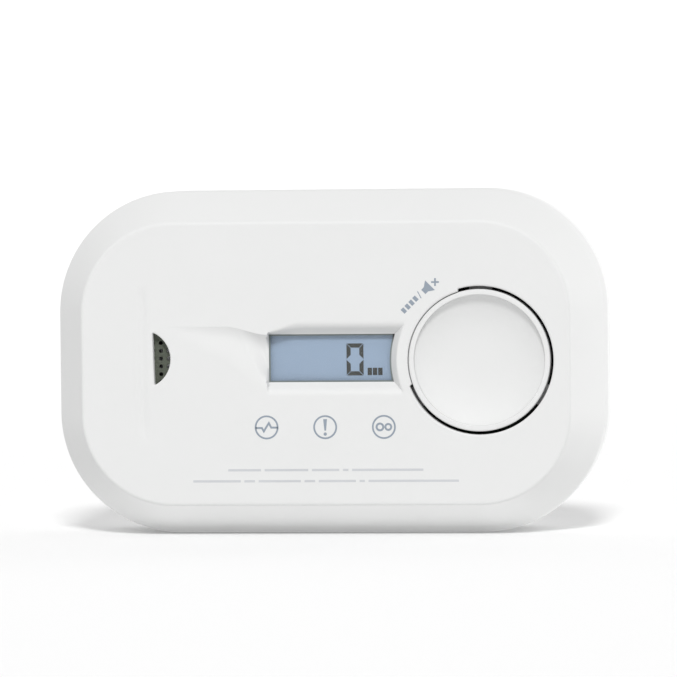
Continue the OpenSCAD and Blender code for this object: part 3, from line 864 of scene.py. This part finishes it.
def stock(name, colour, rough, spread_by=0.03, grain=2500, grain_height=0.00001, mottle=60, metallic=0.0,
          specular=0.5):
    """Moulded or rolled stock: faint mottling, uneven gloss and a fine surface grain.

    The grain and mottle are in cells per metre, and the grain's height is in metres.
    """
    gloss_spread = 0.06
    material, nodes, links, shader = new_material(name)
    broad = noise(nodes, links, mottle, 3)
    fine = noise(nodes, links, grain, 2)
    low = [c * (1 - spread_by) for c in colour]
    high = [min(1, c * (1 + spread_by)) for c in colour]
    links.new(tinted(nodes, links, mapped(nodes, links, broad, 0, 1), low, high), shader.inputs["Base Color"])
    gloss = mapped(nodes, links, fine, rough - gloss_spread, rough + gloss_spread)
    links.new(gloss, shader.inputs["Roughness"])
    shader.inputs["Metallic"].default_value = metallic
    shader.inputs["Specular IOR Level"].default_value = specular
    bump = nodes.new("ShaderNodeBump")
    bump.inputs["Strength"].default_value = 1.0
    bump.inputs["Distance"].default_value = grain_height
    links.new(fine, bump.inputs["Height"])
    links.new(bump.outputs["Normal"], shader.inputs["Normal"])
    materials[name] = material
    return shader


def metal(name, colour, rough, spread_by=0.04, grain=1500, mottle=80):
    """Bare metal."""
    stock(name, colour, rough, spread_by, grain, mottle=mottle, metallic=1.0)


def clear(name, colour, alpha):
    """Clear sheet that shows what is behind it, with a surface gloss."""
    shader = stock(name, colour, 0.1, 0.01, 900, 0.000001, specular=0.12)
    shader.inputs["Alpha"].default_value = alpha


def make_materials():
    """One material for each slot in the record, and one each for the caption and for the painted shade round
    the display's edge.
    """
    white = (0.665, 0.668, 0.665)
    black = (0.02, 0.02, 0.022)
    stock("white_cover", white, 0.55, 0.006, 2600, 0.000006, specular=0.15)
    stock("white_rear", (0.72, 0.723, 0.72), 0.55, 0.008, 2200, 0.000012)
    stock("white_button", white, 0.6, 0.006, 2800, 0.000005, specular=0.15)
    clear("clear_window", (0.9, 0.93, 0.96), 0.02)
    stock("black_tape", (0.03, 0.03, 0.032), 0.6)
    stock("lcd_glass", (0.245, 0.325, 0.435), 0.32, 0.015, 5000, 0.000002, 140)
    stock("lcd_ink", (0.012, 0.014, 0.01), 0.6)
    # Painted shade: the dark line round the window's edge stands for the shade in the gap there.
    stock("window_edge_shade", (0.17, 0.2, 0.2), 0.5)
    stock("black_frame", black, 0.45)
    stock("contact_rubber", (0.03, 0.028, 0.028), 0.75)
    stock("board_green", (0.012, 0.11, 0.04), 0.28, 0.15, 3000, 0.00001, 300)
    stock("switch_black", (0.02, 0.02, 0.02), 0.45)
    stock("plunger_grey", (0.6, 0.6, 0.59), 0.35)
    stock("lamp_resin", (0.75, 0.73, 0.6), 0.25)
    clear("clear_guide", (0.9, 0.92, 0.95), 0.35)
    stock("chip_black", (0.018, 0.018, 0.02), 0.5)
    stock("capacitor_sleeve", (0.02, 0.03, 0.12), 0.3)
    stock("coil_copper", (0.45, 0.14, 0.05), 0.35, 0.2, 1800, 0.00004, metallic=0.8)
    stock("cell_sleeve", (0.05, 0.14, 0.42), 0.3)
    metal("nickel", (0.66, 0.64, 0.58), 0.3, 0.05)
    stock("grey_foam", (0.09, 0.09, 0.095), 0.9, 0.3, 1600, 0.0002)
    metal("sensor_can", (0.62, 0.63, 0.64), 0.28)
    stock("filter_black", (0.022, 0.022, 0.025), 0.5)
    metal("gold_pin", (0.83, 0.6, 0.22), 0.25)
    stock("dark_mesh", (0.07, 0.08, 0.06), 0.7, 0.2, 2500, 0.00008)
    stock("chamber_black", black, 0.5)
    metal("disc_brass", (0.72, 0.5, 0.2), 0.3, 0.06)
    stock("ceramic_white", (0.8, 0.79, 0.74), 0.35)
    stock("slider_red", (0.5, 0.025, 0.02), 0.35)
    metal("screw_steel", (0.58, 0.58, 0.58), 0.3, 0.05, 2000, 90)
    stock("label_paper", (0.66, 0.67, 0.67), 0.45)
    stock("print_ink", (0.24, 0.28, 0.33), 0.5, 0.04, 4000, 0.000004)
    stock("caption_ink", (0.5, 0.51, 0.53), 0.5, 0.04, 4000, 0.000004)


make_materials()
slot_of = {entry["node"]: entry["material_slot"] for entry in frame["record"]["subparts"]}
for name, node in frame["nodes"].items():
    node.data.materials.clear()
    node.data.materials.append(materials[slot_of[name]])


def finish(piece, slot, *nodes, look=None):
    """Gives a new piece its material and hides the CAD nodes it stands for.

    The look is the material's name where it isn't the slot's own.
    """
    piece.data.materials.append(materials[look or slot])
    if nodes:
        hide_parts(*nodes)


finish(front_cover(), "white_cover", "front_cover")
finish(rear_cover(), "white_rear", "rear_cover")
finish(test_button(), "white_button", "test_button")
finish(printed_marks(), "print_ink")
finish(printed_caption(), "print_ink", look="caption_ink")
finish(display_digit(), "lcd_ink")
# The dark line round the window is painted shade, carried on the tape's slot.
finish(display_edge_shade(), "black_tape", look="window_edge_shade")

# ---------------------------------------------------------------- studio


def stage_material():
    """Matt white card."""
    material, nodes, links, shader = new_material("stage_white")
    links.new(tinted(nodes, links, noise(nodes, links, 3), (0.84, 0.84, 0.84), (0.85, 0.85, 0.85)),
              shader.inputs["Base Color"])
    shader.inputs["Roughness"].default_value = 0.9
    shader.inputs["Specular IOR Level"].default_value = 0.0
    return material


def studio_floor():
    """A pale sheet, in metres, that runs back from the object and curves up behind it.

    It casts no shadow, so the light from below passes through it.
    """
    mesh = bpy.data.meshes.new("studio_floor")
    front_y, back_y, half, top, sweep_r, steps = -4.0, 2.6, 4.0, 4.0, 1.0, 24
    section = [(front_y, 0.0)]
    for k in range(steps + 1):
        a = math.pi / 2 * k / steps
        section.append((back_y - sweep_r + sweep_r * math.sin(a), sweep_r * (1 - math.cos(a))))
    section.append((back_y, top))
    verts = [(x, y, z) for y, z in section for x in (-half, half)]
    faces = [(2 * k, 2 * k + 1, 2 * k + 3, 2 * k + 2) for k in range(len(section) - 1)]
    mesh.from_pydata(verts, [], faces)
    mesh.shade_smooth()
    mesh.materials.append(stage_material())
    floor = bpy.data.objects.new("studio_floor", mesh)
    floor.visible_shadow = False
    bpy.context.collection.objects.link(floor)


def soft_sun(name, towards, strength, spread_angle):
    """Even, soft light that comes from a direction."""
    light = bpy.data.lights.new(name, "SUN")
    light.energy = strength
    light.angle = math.radians(spread_angle)
    lamp = bpy.data.objects.new(name, light)
    lamp.rotation_euler = Vector(towards).to_track_quat("Z", "Y").to_euler()
    bpy.context.collection.objects.link(lamp)


def set_world(strength):
    """Even white light from all round."""
    world_light = bpy.data.worlds.new("studio")
    world_light.use_nodes = True
    background = world_light.node_tree.nodes["Background"]
    background.inputs["Color"].default_value = (1, 1, 1, 1)
    background.inputs["Strength"].default_value = strength
    bpy.context.scene.world = world_light


def set_camera():
    """A long lens a little to the right of the middle and a little above it."""
    azimuth, elevation, roll = math.radians(6.6), math.radians(2.15), math.radians(0.6)
    distance, frame_width = 1.15, 0.14876
    sensor_width = 36
    shift_right, shift_up = 1.2 * MM, 4.82 * MM
    middle = Vector((0, 0, (cad_low.z + cad_high.z) / 2))
    forward = Vector((-math.sin(azimuth) * math.cos(elevation), math.cos(azimuth) * math.cos(elevation),
                      -math.sin(elevation)))
    right = Vector((math.cos(azimuth), math.sin(azimuth), 0))
    up = right.cross(forward)
    right, up = right * math.cos(roll) - up * math.sin(roll), up * math.cos(roll) + right * math.sin(roll)
    data = bpy.data.cameras.new("camera")
    data.sensor_width = sensor_width
    data.lens = sensor_width * distance / frame_width
    data.clip_start = 0.05
    camera = bpy.data.objects.new("camera", data)
    offset = right * shift_right + up * shift_up
    basis = Matrix((right, up, -forward)).transposed().to_4x4()
    camera.matrix_world = Matrix.Translation(middle - forward * distance + offset) @ basis
    bpy.context.collection.objects.link(camera)
    bpy.context.scene.camera = camera


bpy.context.scene.view_settings.view_transform = "Standard"
studio_floor()
set_world(0.67)
soft_sun("key", (0.08, -0.72, 0.69), 1.9, 12)
soft_sun("right_fill", (0.8, 0.6, 0), 1.1, 30)
soft_sun("table_glow", (0, 0.55, -0.835), 1.3, 40)
set_camera()
